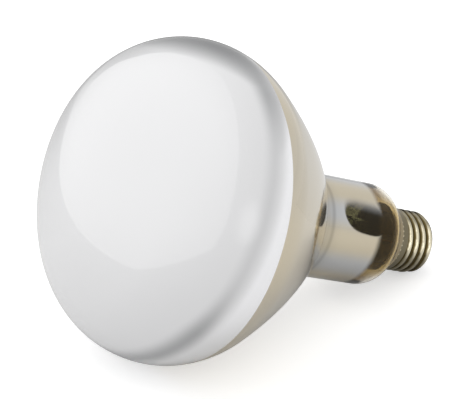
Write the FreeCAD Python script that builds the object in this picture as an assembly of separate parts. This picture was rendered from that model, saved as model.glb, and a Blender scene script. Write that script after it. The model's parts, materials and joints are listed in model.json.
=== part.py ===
"""Infrared heat lamp: a blown reflector bulb of 125 mm diameter with a screw cap of 27 mm.

Every piece is made round one axis: +Z runs from the crown of the dome to the cap, and "station"
is a distance along it from the crown. At the end the whole lamp is laid down on its widest rim
and the edge of its cap, as it lies on a table. All sizes are in millimetres.
"""
import FreeCAD, Part
import math
import os

Vector = FreeCAD.Vector
AXIS = Vector(0, 0, 1)
ORIGIN = Vector(0, 0, 0)

# The lamp as a whole
overall_length = 178.1
cap_height = 27.0

# The blown glass bulb
bulb_diameter = 125.0
dome_radius = 93.0
shoulder_radius = 37.5
reflector_focal_length = 17.7
neck_diameter = 42.1
neck_fillet_radius = 4.1
neck_end_radius = 9.7
collar_diameter = 29.0
collar_length = 2.4
collar_fillet_radius = 1.0
collar_edge_radius = 0.4
glass_wall = 1.0
seat_length = 2.2
seat_gap = 0.6

# The screw cap: a shell of thin sheet, rolled to a round thread
thread_diameter = 26.2
thread_root_diameter = 24.4
thread_pitch = 3.629
thread_crest_radius = 1.025
thread_turns = 4.1
thread_fade_turns = 0.35
thread_first_angle = 92.0
thread_foot_depth = 0.25
shell_wall = 0.35
skirt_diameter = 26.4
skirt_length = 4.0
skirt_slope_length = 0.7
shell_length = 19.5
shell_hole_diameter = 20.4
shell_shoulder_length = 1.7
shell_shoulder_margin = 0.6

# The glass plug and the contacts at the end of the cap
insulator_depth = 2.6
insulator_seat_width = 0.7
insulator_edge_radius = 1.6
insulator_face_diameter = 12.4
contact_diameter = 10.0
contact_thickness = 0.6
contact_crown_diameter = 7.2
contact_rise = 1.5
contact_edge_radius = 0.3
contact_shank_diameter = 3.4
contact_shank_length = 1.8
contact_hole_diameter = 0.9
solder_diameter = 4.6
solder_height = 1.0
solder_land_diameter = 2.4
side_hole_diameter = 1.8
side_hole_from_rim = 1.4
side_solder_diameter = 3.0
side_solder_height = 0.5

# The glass stem that closes the neck and carries the wires. The lengths of the stem and of what
# it carries are those of a mount of this length, from the filament to the end of the glass
mount_length = 62.11
stem_tube_diameter = 13.0
stem_wall = 0.9
flare_radius = 3.6
stem_tube_length = 17.5
press_width = 13.0
press_thickness = 3.4
press_length = 11.0
press_taper_length = 5.0
exhaust_diameter = 4.2
exhaust_wall = 0.6
exhaust_length = 32.0
exhaust_from_pinch = 1.0
arbor_diameter = 3.2
arbor_button_diameter = 5.6
arbor_button_length = 5.0
button_to_filament = 9.0

# The wires, the filament and the disc that keeps heat from the cap
lead_spacing = 7.0
inner_lead_diameter = 1.0
outer_lead_diameter = 0.4
lead_bend_radius = 2.0
outer_bend_radius = 0.6
filament_ring_diameter = 16.0
filament_coil_diameter = 1.8
support_count = 3
support_spread = 105.0
support_diameter = 0.6
deflector_gap = 3.05
deflector_thickness = 0.4
deflector_from_press = 6.0
fuse_diameter = 2.4
fuse_length = 6.0
fuse_offset = 6.0
fuse_from_flare = 3.0
lead_drop_below_flare = 0.45

# Clearances between pieces that are fitted but not fused
wire_clearance = 0.05
touch_clearance = 0.1

# How far a shape that cuts or trims reaches past what it cuts
cut_margin = 0.6

# How curves are worked out: halvings of a search, and its limits for slopes in radians
halvings = 60
slope_limits = (0.01, 1.4)
flank_limits = (0.3, 1.5)
reflector_spans = 8
thread_steps_per_turn = 16

# Radii that follow from the sizes above
bulb_radius = bulb_diameter / 2
neck_radius = neck_diameter / 2
collar_radius = collar_diameter / 2
thread_radius = thread_diameter / 2
root_radius = thread_root_diameter / 2
skirt_radius = skirt_diameter / 2
seat_radius = skirt_radius - shell_wall - seat_gap
shell_hole_radius = shell_hole_diameter / 2
stem_radius = stem_tube_diameter / 2
lead_offset = lead_spacing / 2

# Stations along the axis, from the crown of the dome to the tip of the cap
rim_station = overall_length - cap_height
collar_station = rim_station - collar_length
seat_end_station = rim_station + seat_length
shell_end_station = rim_station + shell_length
flare_end_station = seat_end_station + stem_wall


def solve(function, low, high):
    """The place between low and high where the function crosses zero, by halving."""
    for _ in range(halvings):
        middle = (low + high) / 2
        if function(low) * function(middle) <= 0:
            high = middle
        else:
            low = middle
    return (low + high) / 2


def at(radius, station):
    """A point of a profile in the XZ plane."""
    return Vector(radius, 0, station)


def arc(centre, radius, start, end):
    """An arc of a profile round centre, from the start angle to the end angle, in radians."""
    points = [
        at(centre[0] + radius * math.cos(angle), centre[1] + radius * math.sin(angle))
        for angle in (start, (start + end) / 2, end)
    ]
    return Part.Arc(*points).toShape()


def line(start, end):
    return Part.makeLine(start, end)


def polyline(points):
    return [line(a, b) for a, b in zip(points, points[1:])]


def turned(edges):
    """The solid that a closed profile makes when it is turned round the axis."""
    wire = Part.Wire(Part.__sortEdges__(edges))
    solid = Part.Face(wire).revolve(ORIGIN, AXIS, 360)
    if solid.Volume < 0:
        solid.reverse()
    return solid


def turned_polygon(points):
    return turned(polyline([at(*p) for p in points + points[:1]]))


# The shoulder's arc touches the dome inside, and its centre lies on a ring round the axis
shoulder_ring_radius = bulb_radius - shoulder_radius
widest_station = dome_radius - math.sqrt(
    (dome_radius - shoulder_radius) ** 2 - shoulder_ring_radius**2
)
dome_angle = math.atan2(widest_station - dome_radius, shoulder_ring_radius)


def shoulder_point(angle):
    """The outer profile's point on the shoulder, by the angle of its normal past the widest circle."""
    return (
        shoulder_ring_radius + shoulder_radius * math.cos(angle),
        widest_station + shoulder_radius * math.sin(angle),
    )


# The shoulder hands over to the parabola where both have the same slope
handover_angle = solve(
    lambda a: math.tan(a) * shoulder_point(a)[0] - 2 * reflector_focal_length, *slope_limits
)
handover_radius, handover_station = shoulder_point(handover_angle)
vertex_station = handover_station + handover_radius**2 / (4 * reflector_focal_length)
focus_station = vertex_station - reflector_focal_length


def along(length):
    """A length of the mount, stretched as the room from the filament to the end of the glass is."""
    return length * (seat_end_station - focus_station) / mount_length


def parabola_normal(radius):
    """The outward normal of the reflector, as its radial and axial parts."""
    size = math.hypot(radius, 2 * reflector_focal_length)
    return radius / size, 2 * reflector_focal_length / size


def parabola_point(radius, inset):
    """A point of the reflector, or of the wall's inner face when inset by the wall."""
    across, along = parabola_normal(radius)
    station = vertex_station - radius**2 / (4 * reflector_focal_length)
    return at(radius - inset * across, station - inset * along)


def parabola_edge(start_radius, end_radius, inset):
    """The reflector's curve, through points spread evenly over the radius."""
    step = (end_radius - start_radius) / reflector_spans
    radii = [start_radius + step * i for i in range(reflector_spans + 1)]
    points = [parabola_point(radius, inset) for radius in radii]
    tangents = [
        Vector(-parabola_normal(r)[1], 0, parabola_normal(r)[0])
        for r in (start_radius, end_radius)
    ]
    curve = Part.BSplineCurve()
    curve.interpolate(Points=points, InitialTangent=tangents[0], FinalTangent=tangents[1])
    return curve.toShape()


def bulb_profile(inset):
    """The edges from the crown to the collar, outside at inset 0 and inside at the wall."""
    fillet_start = solve(
        lambda r: r + neck_fillet_radius * parabola_normal(r)[0] - neck_radius - neck_fillet_radius,
        neck_radius / 2,
        handover_radius,
    )
    across, along = parabola_normal(fillet_start)
    fillet_base = parabola_point(fillet_start, 0)
    fillet_centre = (neck_radius + neck_fillet_radius, fillet_base.z + neck_fillet_radius * along)

    collar_centre_radius = collar_radius + collar_fillet_radius
    end_centre_radius = neck_radius - neck_end_radius
    apart = neck_end_radius + collar_fillet_radius
    inward = collar_centre_radius - end_centre_radius
    neck_end_station = collar_station - math.sqrt(apart**2 - inward**2)
    end_angle = math.acos(inward / apart)

    return [
        arc((0, dome_radius), dome_radius - inset, -math.pi / 2, dome_angle),
        arc(
            (shoulder_ring_radius, widest_station),
            shoulder_radius - inset,
            dome_angle,
            handover_angle,
        ),
        parabola_edge(handover_radius, fillet_start, inset),
        arc(
            fillet_centre,
            neck_fillet_radius + inset,
            math.atan2(-along, -across),
            -math.pi,
        ),
        line(at(neck_radius - inset, fillet_centre[1]), at(neck_radius - inset, neck_end_station)),
        arc((end_centre_radius, neck_end_station), neck_end_radius - inset, 0, end_angle),
        arc(
            (collar_centre_radius, collar_station),
            collar_fillet_radius + inset,
            end_angle + math.pi,
            math.pi,
        ),
    ]


def make_envelope():
    """The bulb: blown in one piece, with a narrower seat inside the cap."""
    edge = collar_edge_radius
    outside = bulb_profile(0)
    inside = bulb_profile(glass_wall)
    bore = seat_radius - glass_wall
    outside += [
        line(at(collar_radius, collar_station), at(collar_radius, rim_station - edge)),
        arc((collar_radius - edge, rim_station - edge), edge, 0, math.pi / 2),
    ]
    outside += polyline(
        [
            at(collar_radius - edge, rim_station),
            at(seat_radius, rim_station),
            at(seat_radius, seat_end_station),
            at(bore, seat_end_station),
            at(bore, rim_station - glass_wall),
            at(collar_radius - glass_wall, rim_station - glass_wall),
            at(collar_radius - glass_wall, collar_station),
        ]
    )
    crown = [line(at(0, glass_wall), at(0, 0))]
    return turned(outside + inside + crown)


def thread_spine():
    """The path of the thread crest's centre, which sinks into the shell at both ends."""
    steps = int(round(thread_turns * thread_steps_per_turn))
    crest_centre_radius = thread_radius - thread_crest_radius
    sink = thread_radius - root_radius + thread_foot_depth
    points = []
    for i in range(steps + 1):
        turn = thread_turns * i / steps
        angle = math.radians(thread_first_angle) + 2 * math.pi * turn
        risen = min(turn / thread_fade_turns, (thread_turns - turn) / thread_fade_turns, 1.0)
        reach = crest_centre_radius - sink * (1 - risen * risen * (3 - 2 * risen))
        station = thread_start_station + thread_pitch * turn
        points.append(Vector(reach * math.cos(angle), reach * math.sin(angle), station))
    curve = Part.BSplineCurve()
    curve.interpolate(points)
    return curve


def flank_angle():
    """The slope of the straight flank between the round crest and a round root of the same radius."""
    depth = thread_radius - root_radius
    half_pitch = thread_pitch / 2
    double = 2 * thread_crest_radius

    def misfit(angle):
        run = half_pitch - double * math.sin(angle)
        return depth - double * (1 - math.cos(angle)) - run * math.tan(angle)

    return solve(misfit, *flank_limits)


def make_ridge(inset):
    """The thread's ridge, swept along the helix, or its hollow side when inset by the sheet."""
    curve = thread_spine()
    start = curve.value(curve.FirstParameter)
    outward = Vector(start.x, start.y, 0).normalize()
    angle = flank_angle()
    crest = thread_crest_radius - inset
    side_out = crest * math.cos(angle)
    side_along = crest * math.sin(angle)
    foot_out = thread_crest_radius - (thread_radius - root_radius) - inset - thread_foot_depth
    foot_along = side_along + (side_out - foot_out) / math.tan(angle)

    def place(out, along):
        return start + outward * out + AXIS * along

    corners = [
        place(side_out, side_along),
        place(foot_out, foot_along),
        place(foot_out, -foot_along),
        place(side_out, -side_along),
    ]
    crest_arc = Part.Arc(corners[3], place(crest, 0), corners[0]).toShape()
    section = Part.Wire([crest_arc] + polyline(corners))
    sweep = Part.BRepOffsetAPI.MakePipeShell(Part.Wire(curve.toShape()))
    sweep.setBiNormalMode(AXIS)
    sweep.add(section)
    sweep.build()
    sweep.makeSolid()
    ridge = sweep.shape()
    if ridge.Volume < 0:
        ridge.reverse()
    return ridge


def shell_body(inset):
    """The outside of the cap's shell, or its inside when inset by the sheet."""
    start = rim_station - inset
    slope_start = rim_station + skirt_length
    slope_end = slope_start + skirt_slope_length
    shoulder_start = shell_end_station - shell_shoulder_length
    shoulder_foot = thread_radius + shell_shoulder_margin
    shoulder_width = shoulder_foot - shell_hole_radius
    shift = inset * math.hypot(shoulder_width, shell_shoulder_length) / shoulder_width
    blank = turned_polygon(
        [
            (0, start),
            (skirt_radius - inset, start),
            (skirt_radius - inset, slope_start),
            (root_radius - inset, slope_end),
            (root_radius - inset, shell_end_station),
            (0, shell_end_station),
        ]
    )
    room = turned_polygon(
        [
            (0, start - cut_margin),
            (shoulder_foot, start - cut_margin),
            (shoulder_foot, shoulder_start - shift),
            (shell_hole_radius, shell_end_station - shift),
            (0, shell_end_station - shift),
        ]
    )
    return blank.fuse(make_ridge(inset)).common(room)


def cylinder(diameter, start, end):
    """A round bar on the axis from one station to another."""
    return Part.makeCylinder(diameter / 2, end - start, at(0, start), AXIS)


def side_bar(diameter, inner, outer, station):
    """A round bar that points away from the axis, towards the side where the side wire leaves."""
    return Part.makeCylinder(diameter / 2, outer - inner, at(-inner, station), Vector(-1, 0, 0))


def make_shell():
    """The shell of thin sheet, open at both ends, with the hole for the side wire in its skirt."""
    shell = shell_body(0).cut(shell_body(shell_wall))
    end_hole = cylinder(shell_hole_diameter, shell_end_station - insulator_depth, overall_length)
    side_hole = side_bar(side_hole_diameter, seat_radius, skirt_radius + cut_margin, side_station)
    return shell.cut([end_hole, side_hole])


def wire_path(points, bend_radius):
    """Straight runs through the points, joined by arcs of one radius."""
    edges = []
    start = points[0]
    for before, corner, after in zip(points, points[1:], points[2:]):
        back = (before - corner).normalize()
        ahead = (after - corner).normalize()
        half = back.getAngle(ahead) / 2
        trim = bend_radius / math.tan(half)
        middle = corner + (back + ahead).normalize() * (bend_radius / math.sin(half) - bend_radius)
        edges.append(line(start, corner + back * trim))
        edges.append(Part.Arc(corner + back * trim, middle, corner + ahead * trim).toShape())
        start = corner + ahead * trim
    edges.append(line(start, points[-1]))
    return Part.Wire(edges)


def make_wire(points, diameter, bend_radius):
    path = wire_path(points, bend_radius)
    direction = points[1] - points[0]
    circle = Part.makeCircle(diameter / 2, points[0], direction)
    return path.makePipeShell([Part.Wire(circle)], True, False)


# Places that the stem, the wires and the contacts share
side_station = rim_station + side_hole_from_rim
thread_start_station = rim_station + skirt_length - skirt_slope_length / 2
press_base_station = seat_end_station - flare_radius - along(stem_tube_length)
press_bottom_station = press_base_station - along(press_taper_length)
press_top_station = press_bottom_station - along(press_length)
seal_station = (press_bottom_station + press_top_station) / 2
deflector_station = press_top_station - along(deflector_from_press)
exhaust_start_station = press_bottom_station + along(exhaust_from_pinch)
button_station = focus_station + along(button_to_filament)
button_end_station = button_station + along(arbor_button_length)
inner_bend_radius = along(lead_bend_radius)
filament_radius = filament_ring_diameter / 2
filament_end_y = -math.sqrt(filament_radius**2 - lead_offset**2)
filament_top_station = focus_station + filament_coil_diameter / 2 + touch_clearance
contact_seat_station = overall_length - solder_height - contact_rise
crown_station = overall_length - solder_height
fuse_start_station = flare_end_station + fuse_from_flare
gap_radius = seat_radius + seat_gap / 2


def stadium(width, thickness, station):
    """A slot-shaped loop, wide along X."""
    reach = (width - thickness) / 2
    half = thickness / 2
    corners = [
        Vector(reach, -half, station),
        Vector(reach, half, station),
        Vector(-reach, half, station),
        Vector(-reach, -half, station),
    ]
    return Part.Wire(
        [
            Part.Arc(corners[0], Vector(reach + half, 0, station), corners[1]).toShape(),
            line(corners[1], corners[2]),
            Part.Arc(corners[2], Vector(-reach - half, 0, station), corners[3]).toShape(),
            line(corners[3], corners[0]),
        ]
    )


def circle_loop(diameter, station):
    """A circle in four arcs that match the four edges of a stadium."""
    angles = [math.radians(a) for a in (-45, 45, 135, 225, 315)]
    radius = diameter / 2

    def on(angle):
        return Vector(radius * math.cos(angle), radius * math.sin(angle), station)

    return Part.Wire(
        [Part.Arc(on(a), on((a + b) / 2), on(b)).toShape() for a, b in zip(angles, angles[1:])]
    )


def make_stem():
    """The flared tube, pinched flat round the wires at its inner end."""
    tube = stem_radius
    flare_centre_radius = tube + flare_radius
    lip_inside = flare_end_station - stem_wall
    flare_start = lip_inside - flare_radius
    bore = tube - stem_wall
    edges = [
        arc((flare_centre_radius, flare_start), flare_radius, math.pi, math.pi / 2),
        line(at(flare_centre_radius, lip_inside), at(seat_radius, lip_inside)),
        line(at(seat_radius, lip_inside), at(seat_radius, flare_end_station)),
        line(at(seat_radius, flare_end_station), at(flare_centre_radius, flare_end_station)),
        arc((flare_centre_radius, flare_start), flare_radius + stem_wall, math.pi / 2, math.pi),
        line(at(bore, flare_start), at(bore, press_base_station)),
        line(at(bore, press_base_station), at(tube, press_base_station)),
        line(at(tube, press_base_station), at(tube, flare_start)),
    ]
    flare = turned(edges)
    flat = (press_width, press_thickness, press_bottom_station)
    taper = Part.makeLoft(
        [circle_loop(stem_tube_diameter, press_base_station), stadium(*flat)], True
    )
    hollow = Part.makeLoft(
        [
            circle_loop(2 * bore, press_base_station),
            stadium(
                press_width - 2 * stem_wall,
                press_thickness - 2 * stem_wall,
                press_bottom_station,
            ),
        ],
        True,
    )
    press = Part.Face(stadium(*flat)).extrude(AXIS * (press_top_station - press_bottom_station))
    stem = flare.fuse([taper.cut(hollow), press]).removeSplitter()
    return stem.cut(cylinder(exhaust_diameter, exhaust_start_station, press_base_station))


def make_exhaust_tube():
    """The tube through which the bulb was pumped out, melted shut at its end inside the cap."""
    outer = exhaust_diameter / 2
    bore = outer - exhaust_wall
    end = exhaust_start_station + along(exhaust_length)
    edges = [
        line(at(0, end - exhaust_wall), at(0, end)),
        arc((0, end - outer), outer, math.pi / 2, 0),
        line(at(outer, end - outer), at(outer, exhaust_start_station)),
        line(at(outer, exhaust_start_station), at(bore, exhaust_start_station)),
        line(at(bore, exhaust_start_station), at(bore, end - outer)),
        arc((0, end - outer), bore, 0, math.pi / 2),
    ]
    return turned(edges)


def make_arbor():
    """The glass rod on the press, with the button that holds the filament's supports."""
    button = arbor_button_diameter / 2
    rod = arbor_diameter / 2
    edge = button / 2
    edges = [
        line(at(0, button_station), at(button - edge, button_station)),
        arc((button - edge, button_station + edge), edge, -math.pi / 2, 0),
    ]
    edges += polyline(
        [
            at(button, button_station + edge),
            at(button, button_end_station - edge),
            at(rod, button_end_station),
            at(rod, press_top_station),
            at(0, press_top_station),
            at(0, button_station),
        ]
    )
    return turned(edges)


def make_support(index):
    """One thin wire from the button to the filament."""
    turn = math.radians(90 + support_spread * (index - (support_count - 1) / 2))
    across = Vector(math.cos(turn), math.sin(turn), 0)
    root_station = (button_station + button_end_station) / 2
    bend_station = filament_top_station + 2 * inner_bend_radius
    points = [
        across * (arbor_button_diameter / 4) + AXIS * root_station,
        across * filament_radius + AXIS * bend_station,
        across * filament_radius + AXIS * filament_top_station,
    ]
    return make_wire(points, support_diameter, inner_bend_radius)


def make_filament():
    """The coiled filament as the tube that its fine turns fill, bent to an open ring."""
    half_gap = math.asin(lead_offset / filament_radius)
    start = math.degrees(half_gap) - 90
    ring = Part.makeCircle(filament_radius, at(0, focus_station), AXIS, start, 270 - (start + 90))
    begin = ring.valueAt(ring.FirstParameter)
    tangent = ring.tangentAt(ring.FirstParameter)
    circle = Part.makeCircle(filament_coil_diameter / 2, begin, tangent)
    return Part.Wire(ring).makePipeShell([Part.Wire(circle)], True, False)


def inner_lead_points(side):
    """From the seal, past the button and out to one end of the filament."""
    x = side * lead_offset
    return [
        Vector(x, 0, seal_station),
        Vector(x, 0, button_end_station),
        Vector(x, filament_end_y, filament_top_station + 2 * inner_bend_radius),
        Vector(x, filament_end_y, filament_top_station),
    ]


def centre_lead_points():
    """From the seal, past the exhaust tube's side and through the fuse, to the centre contact."""
    return [
        Vector(lead_offset, 0, seal_station),
        Vector(lead_offset, 0, flare_end_station),
        Vector(fuse_offset, 0, fuse_start_station - outer_bend_radius),
        Vector(fuse_offset, 0, fuse_start_station + fuse_length + outer_bend_radius),
        Vector(0, 0, shell_end_station - insulator_depth - outer_bend_radius),
        Vector(0, 0, crown_station),
    ]


def side_lead_points():
    """From the seal, out over the flare's lip and back to the hole in the skirt."""
    corner = flare_end_station + lead_drop_below_flare
    return [
        Vector(-lead_offset, 0, seal_station),
        Vector(-lead_offset, 0, corner + outer_bend_radius),
        Vector(-gap_radius, 0, corner),
        Vector(-gap_radius, 0, side_station),
    ]


def make_deflector():
    """The mica disc that keeps the filament's heat from the cap."""
    diameter = neck_diameter - 2 * (glass_wall + deflector_gap)
    start = deflector_station - deflector_thickness
    disc = cylinder(diameter, start, deflector_station)
    rod_hole = cylinder(arbor_diameter + 2 * wire_clearance, start, deflector_station)
    lead_hole = cylinder(inner_lead_diameter + 2 * wire_clearance, start, deflector_station)
    sides = [Vector(side * lead_offset, 0, 0) for side in (-1, 1)]
    return disc.cut([rod_hole] + [lead_hole.translated(side) for side in sides])


def make_fuse():
    """The glass sleeve round the thin wire that melts if the filament arcs."""
    end = fuse_start_station + fuse_length
    bar = cylinder(fuse_diameter, fuse_start_station, end)
    bore = cylinder(outer_lead_diameter + 2 * wire_clearance, fuse_start_station, end)
    return bar.cut(bore).translated(Vector(fuse_offset, 0, 0))


def make_cement():
    """The cement that holds the bulb's seat in the skirt of the cap."""
    return turned_polygon(
        [
            (seat_radius, rim_station),
            (skirt_radius - shell_wall, rim_station),
            (skirt_radius - shell_wall, seat_end_station),
            (seat_radius, seat_end_station),
        ]
    )


def make_insulator(shell):
    """The black glass plug, poured into the shell's open end, with a rounded shoulder outside."""
    inside = shell_end_station - insulator_depth
    flange = shell_hole_radius + insulator_seat_width
    face = insulator_face_diameter / 2
    hole = contact_shank_diameter / 2 + wire_clearance
    cone = [
        at(shell_hole_radius, shell_end_station),
        at(face, contact_seat_station),
        at(hole, contact_seat_station),
    ]
    rest = [
        cone[-1],
        at(hole, inside),
        at(flange, inside),
        at(flange, shell_end_station - shell_wall),
        cone[0],
    ]
    return turned(wire_path(cone, insulator_edge_radius).Edges + polyline(rest)).cut(shell)


def make_contact():
    """The brass centre contact, an eyelet with a raised, rounded crown and a hollow shank."""
    hole = contact_hole_diameter / 2
    rim = contact_diameter / 2
    shank = contact_shank_diameter / 2
    shank_end = contact_seat_station - contact_shank_length
    crown = [
        at(rim, contact_seat_station),
        at(rim, contact_seat_station + contact_thickness),
        at(contact_crown_diameter / 2, crown_station),
        at(hole, crown_station),
    ]
    rest = [
        crown[-1],
        at(hole, shank_end),
        at(shank, shank_end),
        at(shank, contact_seat_station),
        crown[0],
    ]
    return turned(wire_path(crown, contact_edge_radius).Edges + polyline(rest))


def make_dome(diameter, height, land):
    """A drop of solder on the plane of station zero, with a flat land on its top."""
    foot = diameter / 2
    flat = land / 2
    drop = foot - flat
    radius = (drop**2 + height**2) / (2 * height)
    spread = math.asin(drop / radius)
    edges = [arc((flat, height - radius), radius, math.pi / 2, math.pi / 2 - spread)]
    edges += polyline([at(foot, 0), at(0, 0), at(0, height), at(flat, height)])
    return turned(edges)


def make_centre_solder(lead):
    """The solder that closes the eyelet, with its flat end as the lamp's lowest contact."""
    solder = make_dome(solder_diameter, solder_height, solder_land_diameter)
    solder.translate(at(0, crown_station))
    return seated(solder, lead)


def make_side_solder():
    """The solder on the skirt, with the plug of it that fills the hole."""
    height = side_solder_height + skirt_radius - gap_radius
    dome = make_dome(side_solder_diameter, height, side_solder_diameter / 3)
    dome.rotate(ORIGIN, Vector(0, 1, 0), -90)
    dome.translate(Vector(-gap_radius, 0, side_station))
    outside = dome.cut(cylinder(skirt_diameter, rim_station - seat_length, flare_end_station))
    plug = side_bar(side_hole_diameter, skirt_radius - shell_wall, skirt_radius, side_station)
    return outside.fuse(plug).removeSplitter()


def seated(piece, *inserts):
    """The piece with room cut for what passes through it or is bedded in it."""
    for insert in inserts:
        piece = piece.cut(insert)
    return piece


def lay_down():
    """The placement that rests the lamp on its rim and on the last crest of its thread."""
    bottom = (90 - thread_first_angle) / 360
    turn = bottom + math.floor(thread_turns - thread_fade_turns - bottom)
    crest_station = thread_start_station + thread_pitch * turn
    run = crest_station - widest_station
    drop = shoulder_ring_radius - (thread_radius - thread_crest_radius)
    lean = math.asin((shoulder_radius - thread_crest_radius) / math.hypot(run, drop))
    tilt = math.degrees(lean + math.atan2(drop, run))
    return FreeCAD.Placement(ORIGIN, FreeCAD.Rotation(Vector(1, 0, 0), -90 - tilt)), tilt


def build():
    """Every piece by name, round the lamp's own axis."""
    pieces = {}
    pieces["glass_envelope"] = make_envelope()
    inner = {
        side: make_wire(inner_lead_points(side), inner_lead_diameter, lead_bend_radius)
        for side in (-1, 1)
    }
    centre = make_wire(centre_lead_points(), outer_lead_diameter, outer_bend_radius)
    side = make_wire(side_lead_points(), outer_lead_diameter, outer_bend_radius)
    pieces["glass_stem"] = seated(make_stem(), inner[-1], inner[1], centre, side)
    pieces["exhaust_tube"] = make_exhaust_tube()
    supports = [make_support(i) for i in range(support_count)]
    pieces["arbor_rod"] = seated(make_arbor(), *supports)
    for i, support in enumerate(supports):
        pieces[f"filament_support_{i + 1}"] = support
    pieces["filament"] = make_filament()
    pieces["inner_lead_centre"] = inner[1]
    pieces["inner_lead_side"] = inner[-1]
    pieces["outer_lead_centre"] = centre
    pieces["outer_lead_side"] = side
    pieces["heat_deflector"] = make_deflector()
    pieces["fuse_sleeve"] = make_fuse()
    pieces["cap_cement"] = seated(make_cement(), side)
    pieces["screw_shell"] = make_shell()
    pieces["insulator_glass"] = make_insulator(pieces["screw_shell"])
    pieces["centre_contact"] = make_contact()
    pieces["centre_solder"] = make_centre_solder(centre)
    pieces["side_solder"] = make_side_solder()
    return pieces


def main():
    os.makedirs("parts", exist_ok=True)
    pieces = build()
    resting, tilt = lay_down()
    print("tilt", round(tilt, 3), "focus", round(focus_station, 3), "vertex", round(vertex_station, 3))
    for name, piece in pieces.items():
        solids = piece.Solids
        print(name, len(solids), piece.isValid(), round(piece.Volume, 2))
    for name, piece in pieces.items():
        piece.Placement = resting.multiply(piece.Placement)
    box = FreeCAD.BoundBox()
    for piece in pieces.values():
        box.add(piece.optimalBoundingBox(False))
    print("box", box)
    shift = Vector(-box.Center.x, -box.Center.y, -box.ZMin)
    print("shift", shift)
    for name, piece in pieces.items():
        piece.translate(shift)
        piece.exportStep(f"parts/{name}.step")
    for name, station in (("contact", overall_length), ("thread", rim_station), ("crown", 0)):
        print(name, resting.multVec(at(0, station)) + shift)


main()
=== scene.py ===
# %% [markdown]
# # An infrared heat lamp, dressed for the camera
# The lamp is a blown reflector bulb with a screw cap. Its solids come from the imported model, and
# this script gives them their looks. The real bulb is one glass body with three finishes on it, so
# the glass is modelled afresh here with a finer surface, and one material holds all three finishes.

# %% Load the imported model
import bpy
import json
import math
from mathutils import Matrix, Vector


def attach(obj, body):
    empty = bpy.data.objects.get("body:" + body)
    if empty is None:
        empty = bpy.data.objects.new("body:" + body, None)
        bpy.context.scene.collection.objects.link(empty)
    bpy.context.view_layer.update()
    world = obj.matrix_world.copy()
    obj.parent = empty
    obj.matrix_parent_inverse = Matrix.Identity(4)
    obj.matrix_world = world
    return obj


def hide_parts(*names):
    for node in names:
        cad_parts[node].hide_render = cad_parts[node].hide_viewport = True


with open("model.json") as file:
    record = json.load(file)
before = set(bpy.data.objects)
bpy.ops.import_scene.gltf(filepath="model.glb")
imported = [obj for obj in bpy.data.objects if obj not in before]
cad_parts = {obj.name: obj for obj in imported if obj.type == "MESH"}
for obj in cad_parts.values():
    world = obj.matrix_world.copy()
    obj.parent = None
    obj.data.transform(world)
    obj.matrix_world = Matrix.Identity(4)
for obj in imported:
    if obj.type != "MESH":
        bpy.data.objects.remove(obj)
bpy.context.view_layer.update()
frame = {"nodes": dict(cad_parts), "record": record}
nodes = frame["nodes"]
print("pieces in the packed model:", len(nodes))

# %% [markdown]
# ## Where the lamp lies
# The lamp lies on its side, so its own axis is tilted. A turned piece is easiest to model upright
# round the Z axis and to lay down at the end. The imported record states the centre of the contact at
# the end of the cap and the direction of the axis, and that is all the placement needs.

# %% The lamp's axis
MM = 0.001
OVERALL_LENGTH = 178.1 * MM
mounts = {mount["name"]: mount for mount in frame["record"]["mounts"]}
axis = Vector(mounts["centre_contact"]["axis"]).normalized()
tip = Vector(mounts["centre_contact"]["pos_m"])
crown = tip - axis * OVERALL_LENGTH
side = Vector((1, 0, 0))
down = axis.cross(side)
LAY_DOWN = Matrix.Translation(crown) @ Matrix((side, down, axis)).transposed().to_4x4()
tilt = math.degrees(math.asin(-axis.z))
print("tilt of the axis:", round(tilt, 2), "degrees; crown at", [round(c, 4) for c in crown])

# %% [markdown]
# ## Sizes of the glass
# These are the real sizes of the blown bulb. A designer draws such a reflector with few curves: a
# large sphere for the front, a tighter arc for the shoulder, a parabola behind it that sends the
# heat forward, and a straight neck. Stations are distances along the axis from the crown.

# %% Driving sizes of the bulb
BULB_RADIUS = 62.5 * MM
DOME_RADIUS = 93.0 * MM
SHOULDER_RADIUS = 37.5 * MM
FOCAL_LENGTH = 17.7 * MM
NECK_RADIUS = 21.05 * MM
NECK_FILLET = 4.1 * MM
NECK_END_RADIUS = 9.7 * MM
COLLAR_RADIUS = 14.5 * MM
COLLAR_LENGTH = 2.4 * MM
COLLAR_FILLET = 1.0 * MM
COLLAR_EDGE = 0.4 * MM
GLASS_WALL = 1.0 * MM
SEAT_RADIUS = 12.25 * MM
SEAT_LENGTH = 2.2 * MM
CAP_HEIGHT = 27.0 * MM
RIM_STATION = OVERALL_LENGTH - CAP_HEIGHT
COLLAR_STATION = RIM_STATION - COLLAR_LENGTH
print("the glass ends and the cap begins at", round(RIM_STATION / MM, 1), "mm")

# %% [markdown]
# ## The profile of the glass
# A lathe profile is a list of points of radius and station. Arcs come from their centre and angles,
# and the parabola from its formula. The inner face is the same profile set in by the wall, so both
# faces stay parallel, as they do in blown glass.

# %% Curves of the profile
HALVINGS = 60


def arc(centre, radius, start, end, steps):
    """Points on an arc round centre, given as radius and station, without the first one."""
    angles = [start + (end - start) * i / steps for i in range(1, steps + 1)]
    return [(centre[0] + radius * math.cos(a), centre[1] + radius * math.sin(a)) for a in angles]


def solve(function, low, high):
    """The place where the function crosses zero, by halving."""
    for _ in range(HALVINGS):
        middle = (low + high) / 2
        if function(low) * function(middle) <= 0:
            high = middle
        else:
            low = middle
    return (low + high) / 2


def parabola_normal(radius):
    """The outward direction of the parabola at a radius, across and along the axis."""
    size = math.hypot(radius, 2 * FOCAL_LENGTH)
    return radius / size, 2 * FOCAL_LENGTH / size


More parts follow.
